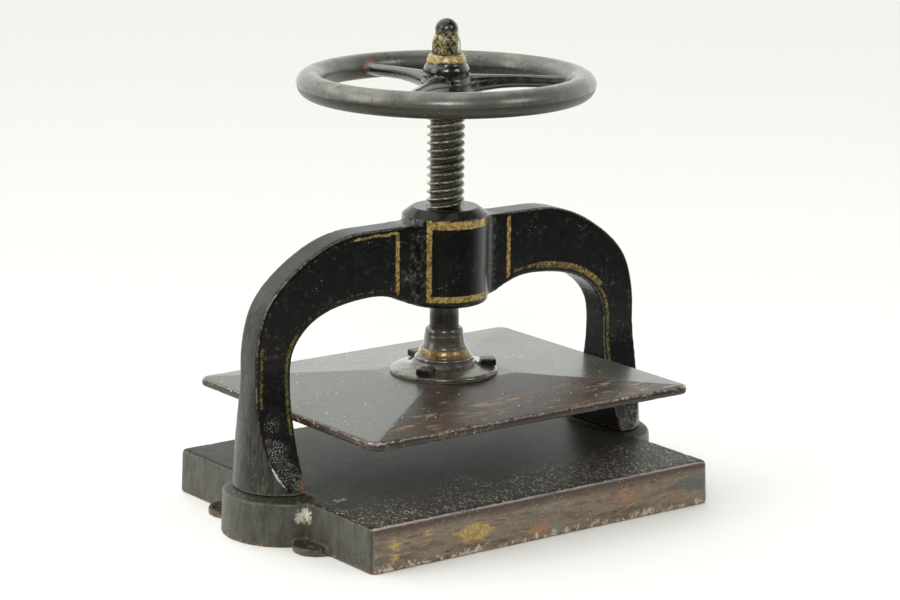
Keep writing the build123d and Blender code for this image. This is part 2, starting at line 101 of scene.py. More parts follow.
def make_studio():
    """A white room, dark on the camera's side and overhead, lit from above, the left and the front."""
    world = bpy.data.worlds.new("studio")
    scene.world = world
    world.use_nodes = True
    tree = world.node_tree
    tree.nodes.clear()

    def node(kind):
        return tree.nodes.new("ShaderNode" + kind)

    def fade(value, from_low, from_high, to_low, to_high):
        made = node("MapRange")
        made.inputs["From Min"].default_value = from_low
        made.inputs["From Max"].default_value = from_high
        made.inputs["To Min"].default_value = to_low
        made.inputs["To Max"].default_value = to_high
        tree.links.new(value, made.inputs["Value"])
        return made.outputs["Result"]

    coordinates = node("TexCoord")
    # How far a direction points away from the camera's side, along the line of sight.
    away = node("VectorMath")
    away.operation = "DOT_PRODUCT"
    away.inputs[1].default_value = (
        math.sin(math.radians(camera_yaw)), math.cos(math.radians(camera_yaw)), 0.0,
    )
    tree.links.new(coordinates.outputs["Generated"], away.inputs[0])
    up = node("SeparateXYZ")
    tree.links.new(coordinates.outputs["Generated"], up.inputs[0])
    strength = node("Math")
    strength.operation = "MULTIPLY"
    tree.links.new(fade(away.outputs["Value"], -0.18, 0.62, 0.025, 1.6), strength.inputs[0])
    tree.links.new(fade(up.outputs["Z"], 0.30, 0.85, 1.0, 0.35), strength.inputs[1])
    lit = node("Background")
    lit.inputs["Color"].default_value = (0.97, 1.0, 0.955, 1.0)
    tree.links.new(strength.outputs[0], lit.inputs["Strength"])
    seen = node("Background")
    seen.inputs["Color"].default_value = (0.93, 0.95, 0.905, 1.0)
    rays = node("LightPath")
    mix = node("MixShader")
    tree.links.new(rays.outputs["Is Camera Ray"], mix.inputs[0])
    tree.links.new(lit.outputs[0], mix.inputs[1])
    tree.links.new(seen.outputs[0], mix.inputs[2])
    output = node("OutputWorld")
    tree.links.new(mix.outputs[0], output.inputs["Surface"])

    ceiling = bpy.data.lights.new("ceiling", "SUN")
    ceiling.energy = 1.9
    ceiling.angle = math.radians(80.0)
    ceiling.color = (1.0, 1.0, 0.97)
    above = bpy.data.objects.new("ceiling", ceiling)
    scene.collection.objects.link(above)
    above.rotation_euler = Vector((0.25, -0.35, -0.9)).to_track_quat("-Z", "Y").to_euler()
    area_light("left_side", (-1.9, 0.5, 1.0), (0.0, 0.0, 0.15), (1.0, 1.6), 13.0)
    area_light("over_camera", (-1.35, -1.75, 1.75), (0.0, 0.0, 0.2), (0.6, 0.4), 20.0)
    area_light("front_fill", (0.9, -2.0, 1.6), (0.0, 0.0, 0.1), (0.8, 0.8), 11.0)


def make_floor():
    """A plain pale table top; only its part near the press shows in reflections."""
    material = bpy.data.materials.new("pale_table")
    material.use_nodes = True
    shader = material.node_tree.nodes["Principled BSDF"]
    shader.inputs["Base Color"].default_value = (0.92, 0.92, 0.89, 1.0)
    shader.inputs["Roughness"].default_value = 0.9
    sheets = (("table_top", floor_reach, 0.0), ("table_near", near_floor_reach, near_floor_lift))
    for name, reach, level in sheets:
        mesh = bpy.data.meshes.new(name)
        corners = [
            (-reach, -reach, level), (reach, -reach, level), (reach, reach, level), (-reach, reach, level),
        ]
        mesh.from_pydata(corners, [], [(0, 1, 2, 3)])
        mesh.materials.append(material)
        floor = bpy.data.objects.new(name, mesh)
        scene.collection.objects.link(floor)
        near = name == "table_near"
        floor.visible_glossy = near
        floor.visible_camera = not near
        floor.visible_diffuse = not near
        floor.visible_shadow = not near


# ---------------------------------------------------------------- noise and mesh work

def lattice(cell, seed):
    """A fixed random number from -1 to 1 for each whole-number cell."""
    # The large numbers are the usual primes and multipliers of an integer hash.
    mixed = cell[:, 0] * 73856093 ^ cell[:, 1] * 19349663 ^ cell[:, 2] * 83492791 ^ (seed * 2654435761)
    mixed = (mixed ^ (mixed >> 13)) * 1274126177 & 0xFFFFFFFF
    mixed = (mixed ^ (mixed >> 15)) * 2246822519 & 0xFFFFFFFF
    return ((mixed >> 8) & 0xFFFF) / 32767.5 - 1.0


def noise(points, size, seed):
    """Smooth noise from -1 to 1 that changes over about size metres."""
    scaled = points / size
    corner = np.floor(scaled).astype(np.int64)
    part = scaled - corner
    part = part * part * (3.0 - 2.0 * part)
    total = np.zeros(len(points))
    for step in np.ndindex(2, 2, 2):
        weight = np.prod(np.where(np.array(step) == 1, part, 1.0 - part), axis=1)
        total += weight * lattice(corner + np.array(step), seed)
    return total


def ramp(values, low, high):
    """0 below low, 1 above high and smooth between; low may be the larger."""
    share = np.clip((values - low) / (high - low), 0.0, 1.0)
    return share * share * (3.0 - 2.0 * share)


class Skin:
    """The vertices of a mesh and who their neighbours are, for working on its surface."""

    def __init__(self, mesh):
        self.mesh = mesh
        self.points = self.read(mesh.vertices, "co", 3)
        self.ends = self.read(mesh.edges, "vertices", 2, np.int32)
        count = len(mesh.vertices)
        self.count = count
        self.degree = np.maximum(np.bincount(self.ends.ravel(), minlength=count), 1)

    @staticmethod
    def read(items, name, width, kind=np.float32):
        values = np.empty(len(items) * width, kind)
        items.foreach_get(name, values)
        return values.reshape(-1, width).astype(np.int64 if kind is np.int32 else float)

    def store(self):
        """Write the moved points back to the mesh."""
        self.mesh.vertices.foreach_set("co", self.points.astype(np.float32).ravel())
        self.mesh.update()

    def normals(self):
        self.store()
        return self.read(self.mesh.vertex_normals, "vector", 3)

    def around(self, values):
        """Mean of each vertex's neighbours."""
        first, second = self.ends[:, 0], self.ends[:, 1]
        if values.ndim == 1:
            summed = np.bincount(first, values[second], self.count)
            summed += np.bincount(second, values[first], self.count)
            return summed / self.degree
        return np.stack([self.around(values[:, k]) for k in range(values.shape[1])], axis=1)

    def blur(self, values, times):
        """Spread values over their neighbours, step by step."""
        for _ in range(times):
            values = 0.5 * (values + self.around(values))
        return values

    def crease(self):
        """Positive on outside edges, negative in inside corners, 0 on flat ground."""
        away = self.points - self.around(self.points)
        first, second = self.ends[:, 0], self.ends[:, 1]
        span = np.linalg.norm(self.points[first] - self.points[second], axis=1).mean()
        return np.einsum("ij,ij->i", away, self.normals()) / span

    def relax(self, weight, times):
        """Draw each vertex towards its neighbours, by its own weight."""
        share = (0.5 * np.clip(weight, 0.0, 1.0))[:, None]
        for _ in range(times):
            self.points += share * (self.around(self.points) - self.points)

    def sink(self, depth):
        """Move the surface inwards by depth, in metres."""
        self.points -= self.normals() * depth[:, None]

    def keep(self, name, values):
        """Save a number per vertex for the finish to read."""
        attribute = self.mesh.attributes.new(name, "FLOAT", "POINT")
        attribute.data.foreach_set("value", values.astype(np.float32))


def even_mesh(node, voxel):
    """The CAD node's mesh again, in even faces that lie on its surface."""
    mesh = nodes[node].data.copy()
    work = bmesh.new()
    work.from_mesh(mesh)
    bmesh.ops.remove_doubles(work, verts=work.verts, dist=1e-6)
    work.to_mesh(mesh)
    work.free()
    draft = bpy.data.objects.new("draft", mesh)
    scene.collection.objects.link(draft)
    even = draft.modifiers.new("even", "REMESH")
    even.mode = "VOXEL"
    even.voxel_size = voxel
    even.use_smooth_shade = True
    lay = draft.modifiers.new("lay", "SHRINKWRAP")
    lay.target = nodes[node]
    lay.wrap_method = "NEAREST_SURFACEPOINT"
    graph = bpy.context.evaluated_depsgraph_get()
    made = bpy.data.meshes.new_from_object(draft.evaluated_get(graph))
    bpy.data.objects.remove(draft)
    bpy.data.meshes.remove(mesh)
    made.materials.clear()
    return made


def wear(node, voxel, seed, fillet=12, arris=3, wave=0.12, pits=0.05, chips=0.25, hold=None, most=None):
    """A worn casting on a CAD node: hollow corners filled, outside edges rounded, waves, pits and chips.

    fillet and arris are counts of smoothing steps; wave, pits and chips are depths in millimetres.
    voxel is in metres. hold marks vertices left where the CAD has them, and most limits the triangles.
    """
    mesh = even_mesh(node, voxel)
    skin = Skin(mesh)
    free = np.ones(skin.count) if hold is None else 1.0 - hold(skin.points)
    bend = skin.crease()
    corner = np.clip(skin.blur(np.clip(-bend * 6.0, 0.0, 1.0), 4) * 3.0, 0.0, 1.0)
    skin.relax(corner * free, fillet)
    bend = skin.crease()
    edge = np.clip(skin.blur(np.clip(bend * 6.0, 0.0, 1.0), 2) * 2.5, 0.0, 1.0)
    skin.relax(edge * free, arris)
    points = skin.points
    depth = wave * (0.5 + 0.35 * noise(points, 31 * MM, seed) + 0.15 * noise(points, 12 * MM, seed + 1))
    small = noise(points, 3.1 * MM, seed + 2)
    depth += pits * ramp(small, 0.25, 0.8)
    broken = noise(points, 5.3 * MM, seed + 3) + 0.5 * noise(points, 2.3 * MM, seed + 4)
    depth += chips * ramp(broken, 0.35, 0.9) * edge
    skin.sink(depth * MM * free)
    if most:
        mesh = thinned(skin, most)
        skin = Skin(mesh)
    bend = skin.crease()
    near = skin.blur(np.clip(bend * 5.0, 0.0, 1.0), 3)
    skin.keep("edge", np.clip(near * 2.0, 0.0, 1.0))
    skin.keep("hollow", np.clip(skin.blur(np.clip(-bend * 5.0, 0.0, 1.0), 5) * 3.0, 0.0, 1.0))
    skin.store()
    return skin


def thinned(skin, most):
    """The same surface in fewer faces, where it is flat."""
    skin.store()
    draft = bpy.data.objects.new("draft", skin.mesh)
    scene.collection.objects.link(draft)
    fewer = draft.modifiers.new("fewer", "DECIMATE")
    fewer.ratio = min(1.0, most / (2.0 * len(skin.mesh.polygons)))
    graph = bpy.context.evaluated_depsgraph_get()
    made = bpy.data.meshes.new_from_object(draft.evaluated_get(graph))
    bpy.data.objects.remove(draft)
    return made


def place(skin, name, node, body, slot, finish):
    """Show the worked mesh in place of its CAD node."""
    mesh = skin.mesh
    mesh.materials.clear()
    mesh.materials.append(finish)
    mesh.shade_smooth()
    piece = bpy.data.objects.new(name, mesh)
    scene.collection.objects.link(piece)
    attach(piece, body)
    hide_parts(node)
    return piece


# ---------------------------------------------------------------- finishes

BLACK_JAPAN = (0.0030, 0.0031, 0.0026)
# Olive japan on the bed and the wheel; on the yoke's outer faces it is a painted sheen.
OLIVE_JAPAN_AND_SHEEN = (0.035, 0.035, 0.024)
# Worn edge metal, lightened as a painted highlight.
WORN_EDGE_HIGHLIGHT = (0.16, 0.115, 0.105)
BARE_IRON = (0.34, 0.33, 0.29)
DARK_IRON = (0.080, 0.077, 0.064)
TAN_RUST = (0.32, 0.21, 0.115)
BROWN_RUST = (0.115, 0.055, 0.028)
ORANGE_RUST = (0.42, 0.19, 0.075)
YELLOW_CLAY = (0.52, 0.38, 0.12)
DUST = (0.40, 0.39, 0.33)
CREAM = (0.66, 0.62, 0.50)
GOLD = (0.50, 0.345, 0.10)
DULL_GOLD = (0.165, 0.115, 0.030)
GREEN_GOLD = (0.125, 0.120, 0.022)


class Finish:
    """A procedural material in layers: each cover lays colour, roughness and metal over the last."""

    def __init__(self, name, colour, roughness, metal, seed):
        self.material = bpy.data.materials.new(name)
        self.material.use_nodes = True
        self.tree = self.material.node_tree
        self.shader = self.tree.nodes["Principled BSDF"]
        coordinates = self.tree.nodes.new("ShaderNodeTexCoord")
        self.object_place = coordinates.outputs["Object"]
        self.facing = coordinates.outputs["Normal"]
        self.pattern = self.maths3("ADD", self.object_place, (seed * 1.7, seed * 2.3, seed * 3.1))
        self.colour, self.roughness, self.metal = colour, roughness, metal
        self.specular = 0.5
        self.height = None

    def node(self, kind, **settings):
        """A new shader node, with its settings."""
        made = self.tree.nodes.new(kind)
        for name, value in settings.items():
            setattr(made, name, value)
        return made

    def feed(self, socket, value):
        """Join value to the socket, or set it there if it is a constant."""
        if isinstance(value, bpy.types.NodeSocket):
            self.tree.links.new(value, socket)
        elif socket.type == "RGBA":
            socket.default_value = (*value, 1.0)
        else:
            socket.default_value = value

    def maths(self, operation, first, second=0.0):
        made = self.node("ShaderNodeMath", operation=operation)
        self.feed(made.inputs[0], first)
        self.feed(made.inputs[1], second)
        return made.outputs[0]

    def maths3(self, operation, first, second):
        made = self.node("ShaderNodeVectorMath", operation=operation)
        self.feed(made.inputs[0], first)
        self.feed(made.inputs[1], second)
        return made.outputs[0]

    def axis(self, vector, name):
        made = self.node("ShaderNodeSeparateXYZ")
        self.feed(made.inputs[0], vector)
        return made.outputs[name]

    def read(self, name):
        """A number saved on the mesh by Skin.keep."""
        return self.node("ShaderNodeAttribute", attribute_name=name).outputs["Fac"]

    def grain(self, size, detail=3.0, rough=0.55, stretch=None):
        """Noise from 0 to 1 with marks about size millimetres across, drawn out by stretch."""
        where = self.pattern
        if stretch:
            where = self.maths3("MULTIPLY", where, tuple(1.0 / s for s in stretch))
        made = self.node("ShaderNodeTexNoise")
        self.feed(made.inputs["Vector"], where)
        made.inputs["Scale"].default_value = 1.0 / (size * MM)
        made.inputs["Detail"].default_value = detail
        made.inputs["Roughness"].default_value = rough
        return made.outputs["Fac"]

    def specks(self, size, share, stretch=None, fill=1.0):
        """Small irregular spots about size millimetres across, on a share of the cells."""
        where = self.pattern
        if stretch:
            where = self.maths3("MULTIPLY", where, tuple(1.0 / s for s in stretch))
        cells = self.node("ShaderNodeTexVoronoi")
        self.feed(cells.inputs["Vector"], where)
        cells.inputs["Scale"].default_value = 0.5 / (size * MM)
        spot = self.ramp(cells.outputs["Distance"], 0.30 * fill, 0.16 * fill)
        pick = self.ramp(self.axis(cells.outputs["Color"], "X"), 1.0 - share, 1.0 - share + 0.02)
        return self.maths("MULTIPLY", spot, pick)

    def ramp(self, value, low, high):
        """0 at low, 1 at high and smooth between; low may be the larger."""
        made = self.node("ShaderNodeMapRange", interpolation_type="SMOOTHSTEP")
        self.feed(made.inputs["Value"], value)
        made.inputs["From Min"].default_value = min(low, high)
        made.inputs["From Max"].default_value = max(low, high)
        made.inputs["To Min"].default_value = 0.0 if low < high else 1.0
        made.inputs["To Max"].default_value = 1.0 if low < high else 0.0
        return made.outputs["Result"]

    def both(self, *masks):
        """Where all the masks are."""
        result = masks[0]
        for mask in masks[1:]:
            result = self.maths("MULTIPLY", result, mask)
        return result

    def plus(self, first, second, share=1.0):
        """first plus share times second."""
        return self.maths("ADD", first, self.maths("MULTIPLY", second, share))

    def ragged(self, value, share, size, detail=3.0, rough=0.55, stretch=None):
        """value, raised and lowered by share times a grain, so that it ends unevenly."""
        return self.plus(value, self.plus(-0.5, self.grain(size, detail, rough, stretch)), share)

    def blend(self, mask, under, over):
        """under where mask is 0 and over where it is 1, for colours or for numbers."""
        colour = isinstance(over, tuple) or getattr(over, "type", "") == "RGBA"
        made = self.node("ShaderNodeMix", data_type="RGBA" if colour else "FLOAT")
        first, second, result = (6, 7, 2) if colour else (2, 3, 0)
        self.feed(made.inputs[0], mask)
        self.feed(made.inputs[first], under)
        self.feed(made.inputs[second], over)
        return made.outputs[result]

    def cover(self, mask, colour=None, roughness=None, metal=None):
        """Lay a finish over the last where mask is 1."""
        if colour is not None:
            self.colour = self.blend(mask, self.colour, colour)
        if roughness is not None:
            self.roughness = self.blend(mask, self.roughness, roughness)
        if metal is not None:
            self.metal = self.blend(mask, self.metal, metal)

    def raise_by(self, value, height):
        """Add value times height millimetres to the fine relief."""
        lift = self.maths("MULTIPLY", value, height * MM)
        self.height = lift if self.height is None else self.maths("ADD", self.height, lift)

    def done(self, coat=0.0, coat_roughness=0.1):
        """Join the layers to the shader, under a clear coat."""
        self.feed(self.shader.inputs["Base Color"], self.colour)
        self.feed(self.shader.inputs["Roughness"], self.roughness)
        self.feed(self.shader.inputs["Metallic"], self.metal)
        self.feed(self.shader.inputs["Specular IOR Level"], self.specular)
        self.shader.inputs["Coat Weight"].default_value = coat
        self.shader.inputs["Coat Roughness"].default_value = coat_roughness
        if self.height is not None:
            bump = self.node("ShaderNodeBump")
            bump.inputs["Distance"].default_value = 1.0
            self.feed(bump.inputs["Height"], self.height)
            self.feed(self.shader.inputs["Normal"], bump.outputs[0])
        return self.material


def japan_finish():
    """Glossy black japan on a grainy casting, worn through on the edges, with old gold lines."""
    olive_sheen_streak, dark_streak = (0.054, 0.053, 0.039), (0.018, 0.017, 0.013)
    arris_black, top_black, brown_black = (0.014, 0.011, 0.008), (0.012, 0.012, 0.009), (0.012, 0.008, 0.006)
    rubbed_brown, seam_brown, foot_rust = (0.062, 0.034, 0.020), (0.060, 0.034, 0.022), (0.30, 0.135, 0.060)
    edge_grey, dull_dust, smudge_grey = (0.17, 0.165, 0.145), (0.20, 0.20, 0.17), (0.17, 0.175, 0.16)
    silver, dull_silver, painted_gleam = (0.50, 0.48, 0.50), (0.24, 0.23, 0.23), (0.66, 0.66, 0.65)
    f = Finish("black_japan", BLACK_JAPAN, 0.24, 0.0, 1)
    broad = f.grain(38.0, 4.0)
    fine = f.grain(2.2, 3.0, 0.65)
    across = f.axis(f.object_place, "X")
    depth = f.axis(f.object_place, "Y")
    level = f.axis(f.object_place, "Z")
    upward = f.axis(f.facing, "Z")
    # Outer faces of arms and legs: a painted olive-grey sheen standing in for the reflection of the bright
    # room, streaked, darker by the arris.
    outward = f.maths("MULTIPLY", f.maths("SIGN", across), f.axis(f.facing, "X"))
    outward = f.maths("MAXIMUM", outward, upward)
    beyond_boss = f.ramp(f.maths("ABSOLUTE", across), 0.042, 0.052)
    outer = f.both(f.ramp(outward, 0.25, 0.6), beyond_boss)
    topside = f.ramp(upward, 0.45, 0.85)
    f.specular = f.blend(topside, 0.38, 0.16)
    streaks = f.grain(4.0, 5.0, 0.7, (1.0, 1.0, 5.0))
    f.cover(f.both(outer, f.ramp(broad, 0.30, 0.62)), OLIVE_JAPAN_AND_SHEEN, 0.33)
    f.cover(f.both(outer, f.ramp(streaks, 0.44, 0.62)), olive_sheen_streak, 0.36)
    f.cover(f.both(outer, f.ramp(streaks, 0.46, 0.34)), dark_streak, 0.32)
    by_arris = f.ramp(f.ragged(depth, 0.005, 9.0, 4.0), -0.001, -0.0075)
    f.cover(f.both(outer, by_arris, f.ramp(level, 0.085, 0.11)), arris_black, 0.30)
    f.cover(f.both(topside, outer), top_black, 0.34)
    brown = f.both(f.ramp(f.grain(21.0, 5.0, 0.6), 0.56, 0.70), f.ramp(fine, 0.35, 0.6))
    f.cover(brown, brown_black, 0.34)
    f.roughness = f.plus(f.roughness, f.grain(9.0, 4.0), 0.12)
    # Rust and rubbed patches, by the places kept on the mesh, and rust in the joint under the feet.
    rubbed = f.ramp(f.ragged(f.read("rubbed"), 1.3, 6.0, 5.0, 0.7), 0.42, 0.72)
    f.cover(rubbed, rubbed_brown, 0.48, 0.05)
    f.cover(f.both(rubbed, f.ramp(f.grain(1.8, 3.0, 0.7), 0.54, 0.68)), TAN_RUST, 0.6, 0.0)
    seam = f.ramp(f.ragged(level, -0.003, 4.0, 4.0, 0.7), 0.0412, 0.0400)
    f.cover(seam, f.blend(f.ramp(fine, 0.42, 0.6), seam_brown, ORANGE_RUST), 0.6, 0.0)
    # Gold lines, flaked by wear, greener on the legs.
    line = f.ramp(f.ragged(f.read("gilt"), 3.4, 2.0, 4.0, 0.7), -0.1, 0.35)
    flaked = f.ragged(f.read("gilt_left"), -1.5, 3.4, 5.0, 0.74)
    flaked = f.ragged(flaked, -1.3, 1.3, 4.0, 0.74)
    line = f.both(line, f.ramp(flaked, 0.42, 0.56))
    bright = f.plus(f.grain(3.0, 4.0, 0.7), f.plus(-0.7, f.read("gilt_left")), 0.55)
    gold = f.blend(f.ramp(bright, 0.42, 0.58), DULL_GOLD, GOLD)
    greener = f.both(f.ramp(f.grain(5.0, 4.0, 0.7), 0.40, 0.62), f.ramp(level, 0.175, 0.160))
    f.cover(line, f.blend(greener, gold, GREEN_GOLD), 0.44, 0.25)
    # Bare metal on outside edges, dust in hollows and light specks, thick in places.
    edge = f.ramp(f.ragged(f.read("edge"), 0.9, 3.4, 4.0, 0.7), 0.70, 0.95)
    f.cover(edge, edge_grey, 0.30, 0.3)
    f.cover(f.both(f.read("hollow"), f.ramp(f.grain(4.0, 5.0, 0.7), 0.48, 0.66)), DUST, 0.7, 0.0)
    clusters = f.ramp(f.grain(24.0, 4.0, 0.6), 0.50, 0.66)
    f.cover(f.both(f.specks(0.80, 0.10), clusters), DUST, 0.5, 0.0)
    f.cover(f.both(f.specks(0.55, 0.12), clusters), dull_dust, 0.5, 0.0)
    # The left foot: silver specks, a painted highlight along its crease and rust at its tip. Smudges of dust.
    silvered = f.ramp(f.ragged(f.read("silvered"), 1.0, 5.0, 5.0, 0.7), 0.30, 0.75)
    f.cover(f.both(silvered, f.specks(0.75, 0.85, fill=1.3)), silver, 0.4, 0.2)
    f.cover(f.both(silvered, f.specks(0.5, 0.8, fill=1.3)), dull_silver, 0.4, 0.2)
    painted_glint = f.ramp(f.ragged(f.read("painted_glint"), 1.1, 3.0, 4.0, 0.7), 0.46, 0.80)
    f.cover(painted_glint, painted_gleam, 0.3, 0.2)
    tip = f.both(f.ramp(f.read("rubbed"), 0.62, 0.85), f.ramp(f.grain(3.0, 5.0, 0.74), 0.42, 0.56))
    f.cover(tip, foot_rust, 0.5, 0.0)
    smudge = f.ramp(f.ragged(f.read("dusty"), 1.8, 3.0, 5.0, 0.75), 0.50, 0.85)
    f.cover(smudge, smudge_grey, 0.55, 0.0)
    f.raise_by(fine, 0.055)
    f.raise_by(f.grain(0.9, 2.0), 0.016)
    f.raise_by(line, 0.03)
    f.raise_by(rubbed, -0.04)
    return f.done(0.15, 0.10)


def bed_finish():
    """Japan worn thin on the bed: olive and brown, flecked with cream, the front side bare and rusty."""
    side_olive, side_brown = (0.088, 0.085, 0.066), (0.052, 0.040, 0.029)
    top_black, top_blue, top_brown = (0.030, 0.031, 0.021), (0.046, 0.048, 0.036), (0.046, 0.034, 0.027)
    front_tan, front_brown, front_olive = (0.240, 0.175, 0.120), (0.135, 0.094, 0.066), (0.215, 0.198, 0.142)
    front_light, front_dark, front_upper = (0.40, 0.295, 0.19), (0.070, 0.050, 0.037), (0.085, 0.055, 0.040)
    clay_brown, front_rust, front_grey = (0.34, 0.22, 0.085), (0.40, 0.19, 0.085), (0.100, 0.110, 0.090)
    chip_pink, highlight_pink, corner_brown = (0.62, 0.52, 0.42), (0.42, 0.36, 0.35), (0.10, 0.060, 0.034)
    fleck_grey, fleck_light, fleck_dull = (0.36, 0.35, 0.29), (0.52, 0.49, 0.40), (0.26, 0.26, 0.21)
    scratch_black = (0.020, 0.014, 0.010)
    f = Finish("worn_bed", OLIVE_JAPAN_AND_SHEEN, 0.30, 0.0, 2)
    broad = f.grain(55.0, 4.0)
    fine = f.grain(2.6, 4.0, 0.65)
    depth = f.axis(f.object_place, "Y")
    level = f.axis(f.object_place, "Z")
    tilt = f.axis(f.facing, "Z")
    forward = f.axis(f.facing, "Y")
    upward = f.ramp(tilt, 0.55, 0.85)
    sideways = f.maths("SUBTRACT", 1.0, upward)
    front = f.both(f.ramp(forward, -0.6, -0.85), f.ramp(depth, -0.125, -0.135))
    toward_front = f.ramp(f.ragged(depth, 0.10, 40.0, 3.0), -0.03, -0.11)
    # Sides: olive grey, streaked downwards.
    down_streaks = f.ramp(f.grain(7.0, 5.0, 0.7, (1.0, 1.0, 2.5)), 0.34, 0.66)
    f.cover(f.both(sideways, down_streaks), side_olive, 0.38)
    f.cover(f.both(sideways, f.ramp(f.grain(9.0, 5.0, 0.7), 0.54, 0.70)), side_brown, 0.42)
    f.specular = f.blend(upward, 0.5, 0.08)
    # Top: olive black, browner towards the front, bluish in broad patches.
    f.cover(upward, top_black, 0.36)
    f.cover(f.both(upward, f.ramp(broad, 0.46, 0.62)), top_blue, 0.38)
    f.cover(f.both(upward, toward_front, f.ramp(f.grain(22.0, 5.0, 0.6), 0.36, 0.56)), top_brown, 0.38)
    # Front side: fine long smears of brown, tan, olive and orange where the paint is lost.
    f.cover(front, front_tan, 0.52)
    brown_smears = f.ramp(f.grain(7.0, 6.0, 0.68, (4.5, 1.0, 0.8)), 0.42, 0.64)
    f.cover(f.both(front, brown_smears), front_brown, 0.5)
    olive_smears = f.ramp(f.grain(11.0, 6.0, 0.68, (3.0, 1.0, 0.8)), 0.50, 0.68)
    f.cover(f.both(front, olive_smears), front_olive, 0.48)
    light_smears = f.ramp(f.grain(3.0, 5.0, 0.74, (5.0, 1.0, 0.8)), 0.54, 0.70)
    f.cover(f.both(front, light_smears), front_light, 0.55)
    dark_smears = f.ramp(f.grain(3.6, 5.0, 0.74, (4.0, 1.0, 0.8)), 0.44, 0.30)
    f.cover(f.both(front, dark_smears), front_dark, 0.5)
    f.cover(f.both(front, f.ramp(level, 0.026, 0.034)), front_upper, 0.42)
    f.roughness = f.plus(f.roughness, f.grain(8.0, 4.0), 0.12)
    # Marks on the front, by the places kept on the mesh, torn up by two sizes of smear.
    smear = f.plus(-0.5, f.grain(5.0, 6.0, 0.76, (3.0, 1.0, 0.8)))
    streak = f.plus(-0.5, f.grain(2.0, 5.0, 0.76, (4.0, 1.0, 0.8)))
    marks = f.ramp(f.plus(f.plus(f.read("rubbed"), smear, 2.3), streak, 1.4), 0.34, 0.80)
    f.cover(marks, f.blend(f.ramp(fine, 0.40, 0.60), clay_brown, YELLOW_CLAY), 0.6)
    rust = f.ramp(f.plus(f.plus(f.read("orange"), smear, 2.3), streak, 1.4), 0.36, 0.90)
    f.cover(f.both(rust, front), front_rust, 0.55)
    grey = f.ramp(f.plus(f.plus(f.read("grey"), smear, 2.0), streak, 1.0), 0.34, 0.90)
    f.cover(f.both(grey, front), front_grey, 0.4)
    # Foot of the sides: broken fragments of cream and tan over brown.
    foot = f.ramp(f.ragged(level, 0.014, 8.0, 5.0, 0.7), 0.0035, 0.0005)
    foot_colour = f.blend(f.ramp(f.grain(3.0, 4.0, 0.7), 0.46, 0.58), BROWN_RUST, TAN_RUST)
    f.cover(f.both(foot, sideways), foot_colour, 0.7)
    chips = f.ramp(f.ragged(level, 0.046, 7.0, 5.0, 0.75), 0.0030, -0.0006)
    f.cover(f.both(chips, front), chip_pink, 0.65)
    # Outside edges: worn purple-brown metal with a painted highlight on it; the paint is gone from them in
    # chips.
    edge = f.ramp(f.ragged(f.read("edge"), 1.2, 4.0, 4.0, 0.7), 0.55, 0.80)
    edge = f.both(edge, f.ramp(level, 0.015, 0.025))
    f.cover(edge, WORN_EDGE_HIGHLIGHT, 0.30, 0.25)
    f.cover(f.both(edge, f.ramp(f.grain(2.0, 3.0, 0.7), 0.58, 0.68)), CREAM, 0.4, 0.1)
    # A painted highlight: a thin pink line on the band of the front top fillet that faces up and forward.
    lip_highlight = f.both(f.ramp(tilt, 0.50, 0.70), f.ramp(tilt, 0.985, 0.93), f.ramp(forward, -0.2, -0.3))
    lip_highlight = f.both(lip_highlight, f.ramp(level, 0.030, 0.033), f.ramp(depth, -0.130, -0.135))
    lip_highlight = f.both(lip_highlight, f.ramp(f.grain(9.0, 5.0, 0.7, (3.0, 1.0, 1.0)), 0.30, 0.55))
    f.cover(lip_highlight, highlight_pink, 0.30, 0.15)
    f.cover(f.both(f.read("hollow"), f.ramp(f.grain(5.0, 5.0, 0.7), 0.45, 0.65)), corner_brown, 0.7)
    bared = f.ramp(f.ragged(f.read("bared"), 1.5, 3.0, 5.0, 0.75), 0.45, 0.7)
    f.cover(bared, CREAM, 0.5, 0.2)
    # Flecks of cream and silver, thick towards the front edge of the top.
    thick = f.ramp(f.ragged(depth, 0.16, 34.0, 4.0), -0.055, -0.125)
    thick = f.both(thick, f.ramp(f.grain(9.0, 4.0, 0.7), 0.34, 0.56))
    f.cover(f.both(f.specks(0.62, 0.60, (1.6, 4.0, 1.0), 1.25), thick, upward), fleck_grey, 0.5)
    f.cover(f.both(f.specks(0.50, 0.55, (1.6, 4.0, 1.0), 1.3), thick, upward), fleck_light, 0.5)
    f.cover(f.both(f.specks(0.70, 0.42, (1.6, 4.0, 1.0), 1.2), thick, upward), CREAM, 0.5)
    f.cover(f.both(f.specks(0.50, 0.16, (1.3, 3.4, 1.0)), upward), fleck_dull, 0.5)
    f.cover(f.both(f.specks(0.6, 0.10), f.ramp(broad, 0.40, 0.58)), DUST, 0.5)
    f.cover(f.both(f.specks(0.5, 0.10, (2.0, 1.0, 1.0)), front), CREAM, 0.6)
    # Two fine wandering scratches along the front edge.
    wander = f.ragged(depth, 0.004, 26.0, 2.0, 0.5, (3.0, 1.0, 1.0))
    for scratch_y in (-0.1345, -0.1375):
        gap = f.maths("ABSOLUTE", f.maths("SUBTRACT", wander, scratch_y))
        f.cover(f.both(f.ramp(gap, 0.0008, 0.0003), upward), scratch_black, 0.5)
    f.raise_by(fine, 0.045)
    f.raise_by(f.grain(0.9, 2.0), 0.012)
    f.raise_by(marks, -0.03)
    return f.done()


